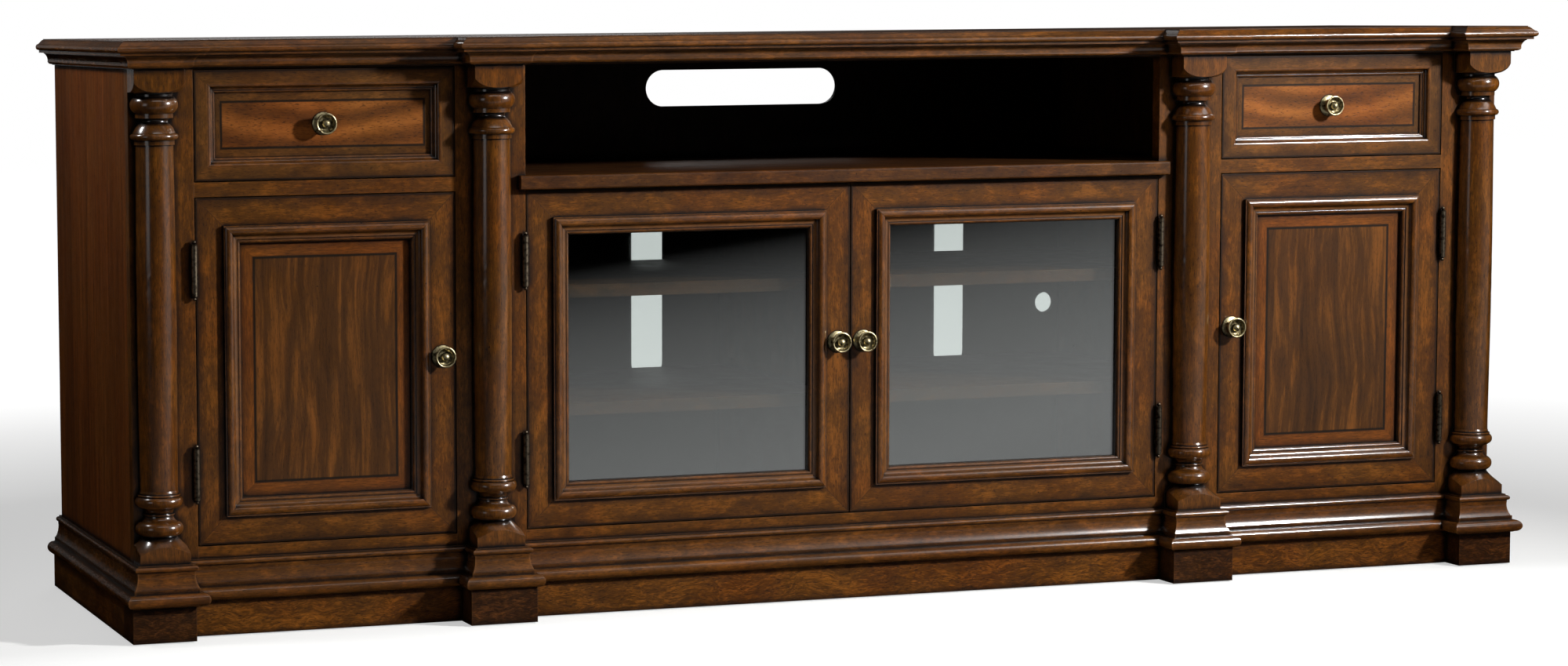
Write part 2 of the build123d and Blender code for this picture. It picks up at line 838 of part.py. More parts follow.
def door_pieces(x0, x1, section, mortises):
    # Mitred frame and raised moulding of a right-hand door
    z0 = door_opening_bottom + reveal
    z1 = door_opening_top - reveal
    plane = front_plane(face_y)
    path = rectangle_path(x0, x1, z0, z1)
    frame = mitred_runs(path, section, door_frame_width, -door_thickness, 0, plane, closed=True)
    cut_frame = []
    for member in frame:
        for mortise in mortises:
            member = member - mortise
        cut_frame.append(member)
    b = door_border
    path = rectangle_path(x0 + b, x1 - b, z0 + b, z1 - b)
    moulding = mitred_runs(
        path, bolection_section, bolection_width, -panel_inset, bolection_rise, plane, closed=True
    )
    return cut_frame, moulding


def infill(x0, x1, thickness):
    # Panel or glass pane held in the door frame
    edge = groove_u + panel_clearance
    z0 = door_opening_bottom + reveal + edge
    z1 = door_opening_top - reveal - edge
    front = face_y + panel_inset
    return slab(x0 + edge, x1 - edge, front, front + thickness, z0, z1)


def save_pair(pattern, pieces):
    # The same pieces on the right and, mirrored, on the left
    save(pattern.format("right"), *pieces)
    save(pattern.format("left"), *[mirror(piece, about=Plane.YZ) for piece in pieces])


# Panelled bay doors
bay_door_in = bay_inner_x + reveal
bay_door_out = bay_outer_x - reveal
frame, moulding = door_pieces(bay_door_in, bay_door_out, panel_door_section, door_mortises["bay"])
save_pair("{}_door_frame", frame)
save_pair("{}_door_moulding", moulding)
save_pair("{}_door_panel", [infill(bay_door_in, bay_door_out, panel_thickness)])
save_pair("{}_door_knob", [Pos(bay_door_in + knob_from_edge, face_y, knob_height) * forward_knob])
save_pair("{}_door_hinge_leaves", door_leaves["bay"])

# Glass doors of the centre
glass_door_in = door_meeting_gap / 2
glass_door_out = centre_edge_x - reveal
frame, moulding = door_pieces(glass_door_in, glass_door_out, glass_door_section, door_mortises["glass"])
save_pair("{}_glass_door_frame", frame)
save_pair("{}_glass_door_moulding", moulding)
save_pair("{}_glass_pane", [infill(glass_door_in, glass_door_out, glass_thickness)])
bead_path = rectangle_path(
    glass_door_in + groove_u,
    glass_door_out - groove_u,
    door_opening_bottom + reveal + groove_u,
    door_opening_top - reveal - groove_u,
)
beads = mitred_runs(
    bead_path,
    bead_section,
    panel_tongue,
    -glass_back - glass_bead_height,
    -glass_back,
    front_plane(face_y),
    closed=True,
)
save_pair("{}_glass_beads", beads)
save_pair(
    "{}_glass_door_knob", [Pos(glass_door_in + knob_from_edge, face_y, knob_height) * forward_knob]
)
save_pair("{}_glass_door_hinge_leaves", door_leaves["glass"])

# Drawers: fronts with a sunk field, boxes and bottoms
front_low = deck_top + reveal
front_high = drawer_opening_top - reveal
drawer_front = slab(
    bay_door_in, bay_door_out, face_y, face_y + drawer_front_thickness, front_low, front_high
)
field = slab(
    bay_door_in + drawer_border,
    bay_door_out - drawer_border,
    face_y - overrun,
    face_y + drawer_recess,
    front_low + drawer_border,
    front_high - drawer_border,
)
save_pair("{}_drawer_front", [drawer_front - field])
sunk_section = outline(drawer_moulding_width, drawer_recess, drawer_moulding_shares, -drawer_recess)
sunk_path = rectangle_path(
    bay_door_in + drawer_border,
    bay_door_out - drawer_border,
    front_low + drawer_border,
    front_high - drawer_border,
)
sunk_moulding = mitred_runs(
    sunk_path,
    sunk_section,
    drawer_moulding_width,
    -drawer_recess,
    0,
    front_plane(face_y),
    closed=True,
)
save_pair("{}_drawer_moulding", sunk_moulding)
drawer_x = (bay_inner_x + bay_outer_x) / 2
drawer_z = (front_low + front_high) / 2
drawer_knob = Pos(drawer_x, face_y + drawer_recess, drawer_z) * forward_knob
save_pair("{}_drawer_knob", [drawer_knob])
box_in = bay_inner_x + slide_gap
box_out = bay_outer_x - slide_gap
box_front = face_y + drawer_front_thickness
box_back = box_front + drawer_box_length
box_low = deck_top + drawer_box_lift
box_high = box_low + drawer_box_height
inner_in = box_in + drawer_side_thickness
inner_out = box_out - drawer_side_thickness
inner_front = box_front + drawer_side_thickness
inner_back = box_back - drawer_side_thickness
bottom_low = box_low + drawer_bottom_lift
drawer_bottom = slab(
    inner_in - drawer_groove_depth,
    inner_out + drawer_groove_depth,
    inner_front - drawer_groove_depth,
    inner_back + drawer_groove_depth,
    bottom_low,
    bottom_low + drawer_bottom_thickness,
)
box_walls = [
    slab(box_in, inner_in, box_front, box_back, box_low, box_high),
    slab(inner_out, box_out, box_front, box_back, box_low, box_high),
    slab(inner_in, inner_out, box_front, inner_front, box_low, box_high),
    slab(inner_in, inner_out, inner_back, box_back, box_low, box_high),
]
save_pair("{}_drawer_box", [wall - drawer_bottom for wall in box_walls])
save_pair("{}_drawer_bottom", [drawer_bottom])


# Nested steel slide members, measured inwards from the wall that the outer one is fixed to
def channel(wall_x, way, web_u, flange_u, height, web_inside):
    # A rolled channel: a web with a flange along its top and bottom
    y0 = frame_back_y + slide_setback
    y1 = y0 + slide_length
    centre_z = (box_low + box_high) / 2
    low = centre_z - height / 2
    high = centre_z + height / 2
    web_low_u = flange_u - slide_gauge if web_inside else web_u
    web = slab(
        wall_x + way * web_low_u, wall_x + way * (web_low_u + slide_gauge), y0, y1, low, high
    )
    lower = slab(wall_x + way * web_u, wall_x + way * flange_u, y0, y1, low, low + slide_gauge)
    upper = slab(wall_x + way * web_u, wall_x + way * flange_u, y0, y1, high - slide_gauge, high)
    return web + lower + upper


slide_step = slide_gauge + slide_clearance
inner_web_u = slide_gap - slide_gauge
middle_height = slide_height - 2 * slide_step
inner_height = middle_height - 2 * slide_step
slide_walls = ((bay_inner_x, 1), (bay_outer_x, -1))
outer_members = []
middle_members = []
inner_members = []
for wall_x, way in slide_walls:
    outer_members.append(channel(wall_x, way, 0, slide_flange_width, slide_height, False))
    middle_members.append(
        channel(wall_x, way, slide_step, inner_web_u - slide_clearance, middle_height, False)
    )
    inner_members.append(channel(wall_x, way, 2 * slide_step, slide_gap, inner_height, True))
all_outer = [piece for member in outer_members for piece in both_sides(member)]
save("slide_outer_members", *all_outer)
save_pair("{}_slide_middle_members", middle_members)
save_pair("{}_slide_inner_members", inner_members)
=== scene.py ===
import math
import bpy
from mathutils import Matrix, Vector


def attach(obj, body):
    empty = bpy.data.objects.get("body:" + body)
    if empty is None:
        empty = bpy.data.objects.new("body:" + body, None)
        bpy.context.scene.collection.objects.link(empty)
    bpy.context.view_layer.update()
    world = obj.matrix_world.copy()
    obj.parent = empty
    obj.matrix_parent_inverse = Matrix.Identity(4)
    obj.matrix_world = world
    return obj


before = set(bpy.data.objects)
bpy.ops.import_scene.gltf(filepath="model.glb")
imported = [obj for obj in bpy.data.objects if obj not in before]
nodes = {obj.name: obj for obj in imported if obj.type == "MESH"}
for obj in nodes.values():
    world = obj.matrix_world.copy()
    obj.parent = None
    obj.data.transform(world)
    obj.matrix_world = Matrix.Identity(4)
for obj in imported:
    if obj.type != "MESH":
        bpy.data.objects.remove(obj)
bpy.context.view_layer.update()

print("frame loaded:", len(nodes), "pieces")


def linear(code):
    # an sRGB hex colour as linear light
    parts = [int(code[i:i + 2], 16) / 255 for i in (1, 3, 5)]
    return [p / 12.92 if p <= 0.04045 else ((p + 0.055) / 1.055) ** 2.4 for p in parts] + [1.0]


def add(tree, kind, inputs=(), stops=(), **settings):
    # a node with its settings, its input values or links (by name, or a list in the node's own order),
    # and a ramp's colour stops
    node = tree.nodes.new(kind)
    for key, value in settings.items():
        setattr(node, key, value)
    for key, value in (inputs.items() if isinstance(inputs, dict) else enumerate(inputs)):
        socket = node.inputs[key] if isinstance(key, int) else next(
            s for s in node.inputs if s.enabled and s.name == key)
        if isinstance(value, bpy.types.Node):
            value = next(s for s in value.outputs if s.enabled)
        if isinstance(value, bpy.types.NodeSocket):
            tree.links.new(value, socket)
        else:
            socket.default_value = linear(value) if str(value).startswith("#") else value
    for i, (place, colour) in enumerate(stops):
        elements = node.color_ramp.elements
        stop = elements[i] if i < len(elements) else elements.new(place)
        stop.position = place
        stop.color = linear(colour)
    return node


def newMaterial(name):
    material = bpy.data.materials.new(name)
    material.use_nodes = True
    material.node_tree.nodes.clear()
    return material, material.node_tree


def dress(pieces, material):
    for piece in pieces:
        nodes[piece].data.materials.clear()
        nodes[piece].data.materials.append(material)


def bothSides(*parts):
    return [side + "_" + part for part in parts for side in ("left", "right")]


# rectangles seen from the front: middle across and up, half the width and half the height, in metres
outlines = {
    "bayDoor": (0.7805, 0.362, 0.1845, 0.237), "doorField": (0.7805, 0.362, 0.1015, 0.154),
    "glassDoor": (0.24575, 0.362, 0.24475, 0.237),
    "drawerFront": (0.7805, 0.697, 0.1845, 0.075), "drawerField": (0.7805, 0.697, 0.1445, 0.0315),
}

# what all the woods share; widths and distances in metres, pairs are from and to
finish = {
    "boardShift": (3.7, 1.9, 5.3),       # so that neighbouring boards show other parts of the pattern
    "bendDetail": 1.5, "layerDetail": 4.0, "layerRoughness": 0.65,
    "stainLevels": (0.25, 0.5, 0.75),    # where dark, middle and light stain lie on the layers' sum
    "mitreLine": (0.0003, 0.0012), "mitreDarkness": 0.55,
    "flushPerMetre": 1000 / 140,         # clouds 140 mm wide where the stain took redder
    "flushEdges": (0.42, 0.62),
    "poresPerMetre": (850, 850, 150),    # 1.2 by 6.7 mm, coarser than real pores so that they show
    "poreEdges": (0.31, 0.42),
    "patchesPerMetre": 26.0,             # clouds 38 mm wide in which glaze and shine vary
    "glazePatches": (0.3, 0.65), "wiped": (0.75, 1.12), "shinePatches": (0.3, 0.7),
    "glazeAndShadeReach": 0.011, "glazeAndShadeEdges": (0.50, 0.98),   # glaze and painted shade lie within 11 mm of an inner corner
    "rimWander": 0.024, "rimEdges": (-0.004, 0.012), "rimDarkness": 0.6,
    # the arris band is painted nearly black: painted shade in the gap around a door or drawer
    "gapShadeBand": (-0.0044, -0.0016), "gapShadeDarkness": 0.95,
    "rubbedReach": 0.0025, "rubbedEdges": (0.15, 0.75),
    "specksPerMetre": 34.0,              # one place for a speck in 29 mm
    "speckEdges": (0.02, 0.05), "speckDarkness": 0.9,
    "inlayEdges": (0.3, 0.8), "inlayDarkness": 0.95,     # the edges are parts of the line's width
    "arris": 0.0012,                     # sanded round to about a millimetre
    "bumpHeight": 0.0004,
}


def outlineDistance(tree, split, outline):
    # how far a point lies outside the rectangle, across and up; both halves of the cabinet
    # share one material, so x is taken without its sign
    centreX, centreZ, halfX, halfZ = outline
    side = add(tree, "ShaderNodeMath", [split.outputs[0]], operation="ABSOLUTE")
    distances = []
    for value, centre, half in ((side, centreX, halfX), (split.outputs[2], centreZ, halfZ)):
        away = add(tree, "ShaderNodeMath", [value, centre], operation="SUBTRACT")
        away = add(tree, "ShaderNodeMath", [away], operation="ABSOLUTE")
        distances.append(add(tree, "ShaderNodeMath", [away, half], operation="SUBTRACT"))
    return distances


def alongAxis(tree, split, axis):
    # the point's place as (across, across, along), in metres
    x, y, z = split.outputs
    order = {"x": (z, y, x), "y": (x, z, y), "z": (x, y, z)}[axis]
    return add(tree, "ShaderNodeCombineXYZ", order)


def grainSpace(tree, coords, split, grain):
    # where a point lies in its own board, and a mask that is 1 on a mitre joint
    kind = grain[0]
    if kind in ("x", "y", "z"):
        return alongAxis(tree, split, kind), None
    mitre = None
    if kind == "mitred":
        dx, dz = outlineDistance(tree, split, grain[1])
        gap = add(tree, "ShaderNodeMath", [dx, dz], operation="SUBTRACT")
        pick = add(tree, "ShaderNodeMath", [gap, 0.0], operation="GREATER_THAN")
        off = add(tree, "ShaderNodeMath", [gap], operation="ABSOLUTE")
        mitre = add(tree, "ShaderNodeMapRange", [off, *finish["mitreLine"], finish["mitreDarkness"], 0.0])
    elif kind == "stiles":
        # upright members lie between the given distances from the middle
        side = add(tree, "ShaderNodeMath", [split.outputs[0]], operation="ABSOLUTE")
        beyond = [add(tree, "ShaderNodeMath", [side, edge], operation="GREATER_THAN") for edge in grain[1]]
        pick = add(tree, "ShaderNodeMath", beyond[:2], operation="SUBTRACT")
        pick = add(tree, "ShaderNodeMath", [pick, beyond[2]], operation="ADD")
    else:
        # a moulding's grain follows its run: the face's own direction says which way it runs
        facing = add(tree, "ShaderNodeSeparateXYZ", [coords.outputs["Normal"]])
        sizes = [add(tree, "ShaderNodeMath", [facing.outputs[i]], operation="ABSOLUTE") for i in (0, 1)]
        pick = add(tree, "ShaderNodeMath", sizes, operation="GREATER_THAN")
    first = alongAxis(tree, split, "x")
    second = alongAxis(tree, split, "y" if kind == "run" else "z")
    shifted = add(tree, "ShaderNodeVectorMath", [second, finish["boardShift"]], operation="ADD")
    mixed = add(tree, "ShaderNodeMix", {"Factor": pick, "A": first, "B": shifted}, data_type="VECTOR")
    return mixed, mitre


def woodColour(tree, space, look):
    # slow bends in the trunk push the fibres sideways
    bends = add(tree, "ShaderNodeTexNoise", {
        "Vector": space, "Scale": 1000 / look["bendLength"], "Detail": finish["bendDetail"]})
    push = look["bend"] / 1000
    pushed = add(tree, "ShaderNodeVectorMath", [bends.outputs["Color"], (push, push, push), space],
                 operation="MULTIPLY_ADD")
    # clouds of stain, ribbons and fibres, each a noise drawn out along the grain
    shade = 0.5
    for width, length, weight, swirl in look["layers"]:
        stretched = add(tree, "ShaderNodeMapping", {
            "Vector": pushed, "Scale": (1000 / width, 1000 / width, 1000 / length)})
        noise = add(tree, "ShaderNodeTexNoise", {
            "Vector": stretched, "Scale": 1.0, "Detail": finish["layerDetail"],
            "Roughness": finish["layerRoughness"], "Distortion": swirl})
        centred = add(tree, "ShaderNodeMath", [noise, 0.5], operation="SUBTRACT")
        shade = add(tree, "ShaderNodeMath", [centred, weight, shade], operation="MULTIPLY_ADD")
    if look.get("rings"):
        # nested ovals where the veneer leaf cuts through a bend
        rings = look["rings"]
        across, depth, along = add(tree, "ShaderNodeSeparateXYZ", [pushed]).outputs
        along = add(tree, "ShaderNodeMath", [along], operation="ABSOLUTE")
        level = add(tree, "ShaderNodeCombineXYZ", [along, 0.0, across])
        middle = (-rings["middle"][0] / rings["stretch"], 0.0, -rings["middle"][1])
        squeezed = add(tree, "ShaderNodeMapping", {
            "Vector": level, "Location": middle, "Scale": (1 / rings["stretch"], 1.0, 1.0)})
        waves = add(tree, "ShaderNodeTexWave", {
            "Vector": squeezed, "Scale": math.tau / 20 * 1000 / rings["spacing"],
            "Distortion": rings["wander"], "Detail": 2.0, "Detail Scale": rings["wanderScale"]},
            wave_type="RINGS", rings_direction="Y")
        centred = add(tree, "ShaderNodeMath", [waves.outputs["Fac"], 0.5], operation="SUBTRACT")
        shade = add(tree, "ShaderNodeMath", [centred, rings["weight"], shade], operation="MULTIPLY_ADD")
    stains = [look["dark"], look["middle"], look["light"]]
    colour = add(tree, "ShaderNodeValToRGB", [shade], stops=list(zip(finish["stainLevels"], stains)))
    # redder patches, as the stain takes unevenly
    patches = add(tree, "ShaderNodeTexNoise", {
        "Vector": space, "Scale": finish["flushPerMetre"], "Detail": 2.0})
    flushed = add(tree, "ShaderNodeMapRange", [patches, *finish["flushEdges"], 0.0, look["redness"]])
    colour = add(tree, "ShaderNodeMix", {"Factor": flushed, "A": colour, "B": look["flush"]},
                 data_type="RGBA", blend_type="MULTIPLY")
    return colour, shade


def inlaidVeneer(tree, split, space, colour, look):
    # field inside the dark line, crossband outside it, its grain along each edge
    inlay = look["inlay"]
    dx, dz = outlineDistance(tree, split, inlay["outline"])
    reach = add(tree, "ShaderNodeMath", [dx, dz], operation="MAXIMUM")
    outside = add(tree, "ShaderNodeMath", [reach, 0.0], operation="GREATER_THAN")
    gap = add(tree, "ShaderNodeMath", [dx, dz], operation="SUBTRACT")
    upright = add(tree, "ShaderNodeMath", [gap, 0.0], operation="GREATER_THAN")
    lying, standing = alongAxis(tree, split, "x"), alongAxis(tree, split, "z")
    bandSpace = add(tree, "ShaderNodeMix", {"Factor": upright, "A": lying, "B": standing}, data_type="VECTOR")
    bandColour = woodColour(tree, bandSpace, dict(look, **inlay["band"]))[0]
    fibres = add(tree, "ShaderNodeMix", {"Factor": outside, "A": space, "B": bandSpace}, data_type="VECTOR")
    edge = add(tree, "ShaderNodeMath", [reach], operation="ABSOLUTE")
    start, end = [inlay["width"] * part for part in finish["inlayEdges"]]
    line = add(tree, "ShaderNodeMapRange", [edge, start, end, finish["inlayDarkness"], 0.0])
    for mask, over in ((outside, bandColour), (line, inlay["line"])):
        colour = add(tree, "ShaderNodeMix", {"Factor": mask, "A": colour, "B": over}, data_type="RGBA")
    return colour, fibres


def lacqueredWood(name, look):
    material, tree = newMaterial(name)
    coords = add(tree, "ShaderNodeTexCoord")
    split = add(tree, "ShaderNodeSeparateXYZ", [coords.outputs["Object"]])
    space, mitre = grainSpace(tree, coords, split, look["grain"])
    colour, shade = woodColour(tree, space, look)
    fibres = space
    if "inlay" in look:
        colour, fibres = inlaidVeneer(tree, split, space, colour, look)
    # short dark pores filled with stain
    poreSpace = add(tree, "ShaderNodeMapping", {"Vector": fibres, "Scale": finish["poresPerMetre"]})
    poreNoise = add(tree, "ShaderNodeTexNoise", {"Vector": poreSpace, "Scale": 1.0, "Detail": 1.5})
    pores = add(tree, "ShaderNodeMapRange", [poreNoise, *finish["poreEdges"], look["pores"], 0.0])
    # dark glaze and painted shade in the recesses, wiped unevenly
    patchy = add(tree, "ShaderNodeTexNoise", {
        "Vector": space, "Scale": finish["patchesPerMetre"], "Detail": 4.0, "Roughness": 0.6})
    hollow = add(tree, "ShaderNodeAmbientOcclusion", {"Distance": finish["glazeAndShadeReach"]}, samples=8)
    hollowGlazeAndShade = add(tree, "ShaderNodeMapRange", [hollow.outputs["AO"], *finish["glazeAndShadeEdges"], 1.0, 0.0])
    wiped = add(tree, "ShaderNodeMapRange", [patchy, *finish["glazePatches"], *finish["wiped"]])
    hollowGlazeAndShade = add(tree, "ShaderNodeMath", [hollowGlazeAndShade, wiped], operation="MULTIPLY")
    hollowGlazeAndShade = add(tree, "ShaderNodeMath", [hollowGlazeAndShade, look["glazingAndShading"]], operation="MULTIPLY", use_clamp=True)
    coats = [(pores, "glazeAndShade"), (hollowGlazeAndShade, "glazeAndShade")]
    # the outer border of a door or drawer front is toned darker, and its arris is painted nearly black, a
    # painted shade that widens the gap around it
    if "rim" in look:
        reach = add(tree, "ShaderNodeMath", outlineDistance(tree, split, look["rim"]), operation="MAXIMUM")
        uneven = add(tree, "ShaderNodeMath", [patchy, finish["rimWander"], reach], operation="MULTIPLY_ADD")
        toned = add(tree, "ShaderNodeMapRange", [uneven, *finish["rimEdges"], 0.0, finish["rimDarkness"]])
        arris = add(tree, "ShaderNodeMapRange", [
            reach, *finish["gapShadeBand"], 0.0, finish["gapShadeDarkness"]])
        toned = add(tree, "ShaderNodeMath", [toned, arris], operation="MAXIMUM")
        coats.append((toned, "glazeAndShade"))
    # rubbed edges, where the stain is thin
    rubbed = add(tree, "ShaderNodeAmbientOcclusion", {"Distance": finish["rubbedReach"]},
                 samples=6, inside=True, only_local=True)
    worn = add(tree, "ShaderNodeMapRange", [rubbed.outputs["AO"], *finish["rubbedEdges"], look["wear"], 0.0])
    worn = add(tree, "ShaderNodeMath", [worn, patchy], operation="MULTIPLY")
    # small dark specks and dents struck into the stain
    cells = add(tree, "ShaderNodeTexVoronoi", {
        "Vector": coords.outputs["Object"], "Scale": finish["specksPerMetre"]})
    spot = add(tree, "ShaderNodeMapRange", [
        cells.outputs["Distance"], *finish["speckEdges"], finish["speckDarkness"], 0.0])
    chosen = add(tree, "ShaderNodeSeparateColor", [cells.outputs["Color"]])
    few = add(tree, "ShaderNodeMath", [chosen.outputs["Red"], look["specks"]], operation="LESS_THAN")
    speck = add(tree, "ShaderNodeMath", [spot, few], operation="MULTIPLY")
    coats += [(worn, "rubbed"), (speck, "glazeAndShade")]
    if mitre:
        coats.append((mitre, "glazeAndShade"))
    for mask, stain in coats:
        colour = add(tree, "ShaderNodeMix", {"Factor": mask, "A": colour, "B": look[stain]}, data_type="RGBA")
    # fibres, pores and dents show in the lacquer
    rounded = add(tree, "ShaderNodeBevel", {"Radius": finish["arris"]}, samples=4)
    height = add(tree, "ShaderNodeMath", [shade, pores], operation="SUBTRACT")
    height = add(tree, "ShaderNodeMath", [height, speck], operation="SUBTRACT")
    bump = add(tree, "ShaderNodeBump", {
        "Height": height, "Strength": look["bump"], "Distance": finish["bumpHeight"], "Normal": rounded})
    rough = add(tree, "ShaderNodeMapRange", [patchy, *finish["shinePatches"], *look["roughness"]])
    surface = add(tree, "ShaderNodeBsdfPrincipled", {
        "Base Color": colour, "Roughness": rough, "IOR": 1.5, "Specular IOR Level": look["shine"],
        "Coat Weight": look["coat"], "Coat Roughness": look["coatRoughness"], "Coat IOR": look["coatIor"],
        "Normal": bump})
    add(tree, "ShaderNodeOutputMaterial", {"Surface": surface})
    return material


# layers: width and length of a feature in mm, its weight and its swirl
# bend: how far the fibres wander, and over what length, in mm
cloud, wisp, ribbon, fibre = (35, 80, 0.45, 0.9), (9, 16, 0.3, 0.6), (4, 40, 0.25, 0.6), (1.5, 12, 0.3, 0.3)
cherry = dict(
    # glazeAndShade is the glaze's dark brown, and also the colour of painted shade in hollows and gaps
    dark="#1e1107", middle="#502e0a", light="#8a5217", glazeAndShade="#0c0604", rubbed="#8c5c30", flush="#f2cfb0",
    layers=[cloud, wisp, ribbon, fibre], bend=8, bendLength=90,
    redness=0.35, pores=0.6, glazingAndShading=1.3, wear=0.45, specks=0.3, bump=0.35,
    roughness=(0.42, 0.55), coat=0.2, coatRoughness=0.10, coatIor=1.6, shine=0.10)
# mouldings hold more glaze, with more painted shade in their hollows, and more lacquer than flat boards
shaped = dict(coat=0.9, coatRoughness=0.16, glazingAndShading=1.6, wear=0.5)
# inside boards have a thin sealer, hardly any wear and no specks
sealed = dict(coat=0.12, wear=0.1, specks=0.0)

woods = {
    # solid cherry, stained, glazed and sprayed with satin lacquer: brown with a soft shine
    "stainedCherryTop": dict(
        cherry, **shaped, grain=("run",), bump=0.15,
        pieces=["top_board", "cornice_moulding", "base_moulding"]),
    # veneered and lacquered thinly: long straight streaks, redder, hardly any shine
    "stainedCherrySide": dict(
        cherry, grain=("z",), dark="#341a08", middle="#5c310e", light="#80491c",
        layers=[(60, 900, 0.4, 0.3), (8, 320, 0.5, 0.2), (1.6, 50, 0.5, 0.1)], bend=14, bendLength=600,
        coat=0.04, shine=0.05, roughness=(0.55, 0.65), pieces=["side_panels"]),
    # solid cherry planed flat: the stiles' grain upright, the rails' across
    "stainedCherryFrame": dict(
        cherry, grain=("stiles", (0.492, 0.5945, 0.9665)), pieces=["face_frame"]),
    # the deck's front edge, solid and stained darker than the frame
    "stainedCherryDeckEdge": dict(
        cherry, grain=("x",), dark="#170c05", middle="#3e230a", light="#6c4014",
        pieces=["deck_front_edge"]),
    # flat-sawn boards: broad wandering figure, redder
    "stainedCherryBaseboard": dict(
        cherry, grain=("run",), layers=[(50, 120, 0.5, 0.8), (8, 30, 0.5, 1.6), (1.6, 12, 0.5, 0.4)],
        bend=26, bendLength=50, redness=0.5, pieces=["baseboards"]),
    # mitred door frames: the grain turns at each corner, the outer border is toned darker, and its arris is
    # painted nearly black as shade in the gap
    "stainedCherryBayDoor": dict(
        cherry, grain=("mitred", outlines["bayDoor"]), rim=outlines["bayDoor"],
        pieces=bothSides("door_frame")),
    "stainedCherryGlassDoor": dict(
        cherry, grain=("mitred", outlines["glassDoor"]), rim=outlines["glassDoor"],
        pieces=bothSides("glass_door_frame", "glass_beads")),
    # run mouldings, mitred, glazed and lacquered more: dark hollows, partly painted shade, and bright rounds
    "mouldedCherryBayDoor": dict(
        cherry, **shaped, grain=("mitred", outlines["bayDoor"]), pieces=bothSides("door_moulding")),
    "mouldedCherryGlassDoor": dict(
        cherry, **shaped, grain=("mitred", outlines["glassDoor"]), pieces=bothSides("glass_door_moulding")),
    "mouldedCherryDrawer": dict(
        cherry, **shaped, grain=("mitred", outlines["drawerFront"]), pieces=bothSides("drawer_moulding")),
    # turned from solid blocks and rubbed to a higher shine, with deep glaze and painted shade in the grooves
    "turnedCherry": dict(
        cherry, grain=("z",),
        layers=[(22, 90, 0.35, 0.6), (8, 20, 0.3, 0.6), (4, 50, 0.3, 0.4), (1.4, 14, 0.3, 0.2)],
        coat=1.0, coatRoughness=0.17, roughness=(0.3, 0.4), wear=0.4, glazingAndShading=2.0,
        pieces=["turned_columns"]),
    # curly veneer on the plinth blocks: orange with wavy dark figure
    "curlyCherryPlinth": dict(
        cherry, grain=("x",), dark="#150b04", middle="#311a07", light="#603815",
        layers=[(22, 50, 0.4, 2.2), (5, 18, 0.6, 1.6), (1.6, 8, 0.5, 0.4)], bend=14, bendLength=30,
        pieces=["plinth_blocks"]),
    # veneered door panels: brown field with uneven golden ribbons, soft dark line, orange crossband
    "inlaidDoorPanel": dict(
        cherry, grain=("z",), dark="#241307", middle="#43270c", light="#784718",
        layers=[(80, 260, 0.35, 0.5), (15, 240, 0.75, 0.5), (5, 90, 0.25, 0.3), (1.5, 14, 0.15, 0.1)],
        bend=40, bendLength=230, redness=0.15, pores=0.35,
        inlay=dict(
            outline=outlines["doorField"], width=0.0034, line="#150e06",
            band=dict(dark="#331c0a", middle="#5c320c", light="#8c4e16", bend=6, redness=0.3,
                      layers=[(50, 140, 0.4, 0.5), (6, 50, 0.35, 0.4), (1.5, 14, 0.5, 0.1)])),
        pieces=bothSides("door_panel")),
    # veneered drawer fronts: nested ovals 35 mm apart, drawn out four times along the front
    "inlaidDrawerFront": dict(
        cherry, grain=("x",), dark="#3c200a", middle="#683b13", light="#935823",
        layers=[(40, 120, 0.35, 1.0), (9, 18, 0.2, 0.8), (4, 40, 0.2, 0.6), (1.5, 12, 0.2, 0.2)],
        rings=dict(middle=(0.76, 0.74), stretch=4.0, spacing=34.574, weight=0.26,
                   wander=3.0, wanderScale=1.2),
        bend=10, redness=0.4, rim=outlines["drawerFront"],
        inlay=dict(
            outline=outlines["drawerField"], width=0.003, line="#150e06",
            band=dict(dark="#26170a", middle="#4f300f", light="#7e5020", bend=8, redness=0.3,
                      layers=[cloud, wisp, fibre], rings=None)),
        pieces=bothSides("drawer_front")),
    # stained veneer with a thin sealer: dark, with much less shine
    "sealedInnerWood": dict(
        cherry, **sealed, grain=("x",), dark="#150b05", middle="#331c08", light="#583210",
        pieces=["adjustable_shelves", "centre_deck", "bay_decks", "bottom_panel"]),
    "sealedPartition": dict(
        cherry, **dict(sealed, coat=0.08), grain=("z",), dark="#1a0f08", middle="#36200d", light="#533418",
        roughness=(0.45, 0.6), pieces=["partitions", "drawer_side_boards"]),
    # thin stained boards, nearly matt and nearly black
    "stainedBackBoard": dict(
        cherry, **dict(sealed, coat=0.05, wear=0.05), grain=("z",),
        dark="#120a05", middle="#20130a", light="#302010",
        roughness=(0.5, 0.65), pieces=["bay_back_panels", "centre_back_panel"]),
    # drawer boxes and bearers: pale hardwood, planed, with a clear sealer
    "plainHardwood": dict(
        cherry, grain=("y",), dark="#a98056", middle="#c39c70", light="#d6b68c",
        glazeAndShade="#7a5836", flush="#f8ead8", rubbed="#d6b68c", glazingAndShading=0.3, pores=0.25,
        coat=0.1, roughness=(0.4, 0.55), wear=0.0, specks=0.0,
        pieces=["carcass_rails"] + bothSides("drawer_box", "drawer_bottom")),
}
for name, look in woods.items():
    dress(look["pieces"], lacqueredWood(name, look))
print("woods made:", len(woods))


# from where to where the metal goes from dull to bright, and how high the tarnish stands, in metres
patina = {"shineEdges": (0.1, 0.6), "bump": 0.2, "bumpHeight": 0.0002}


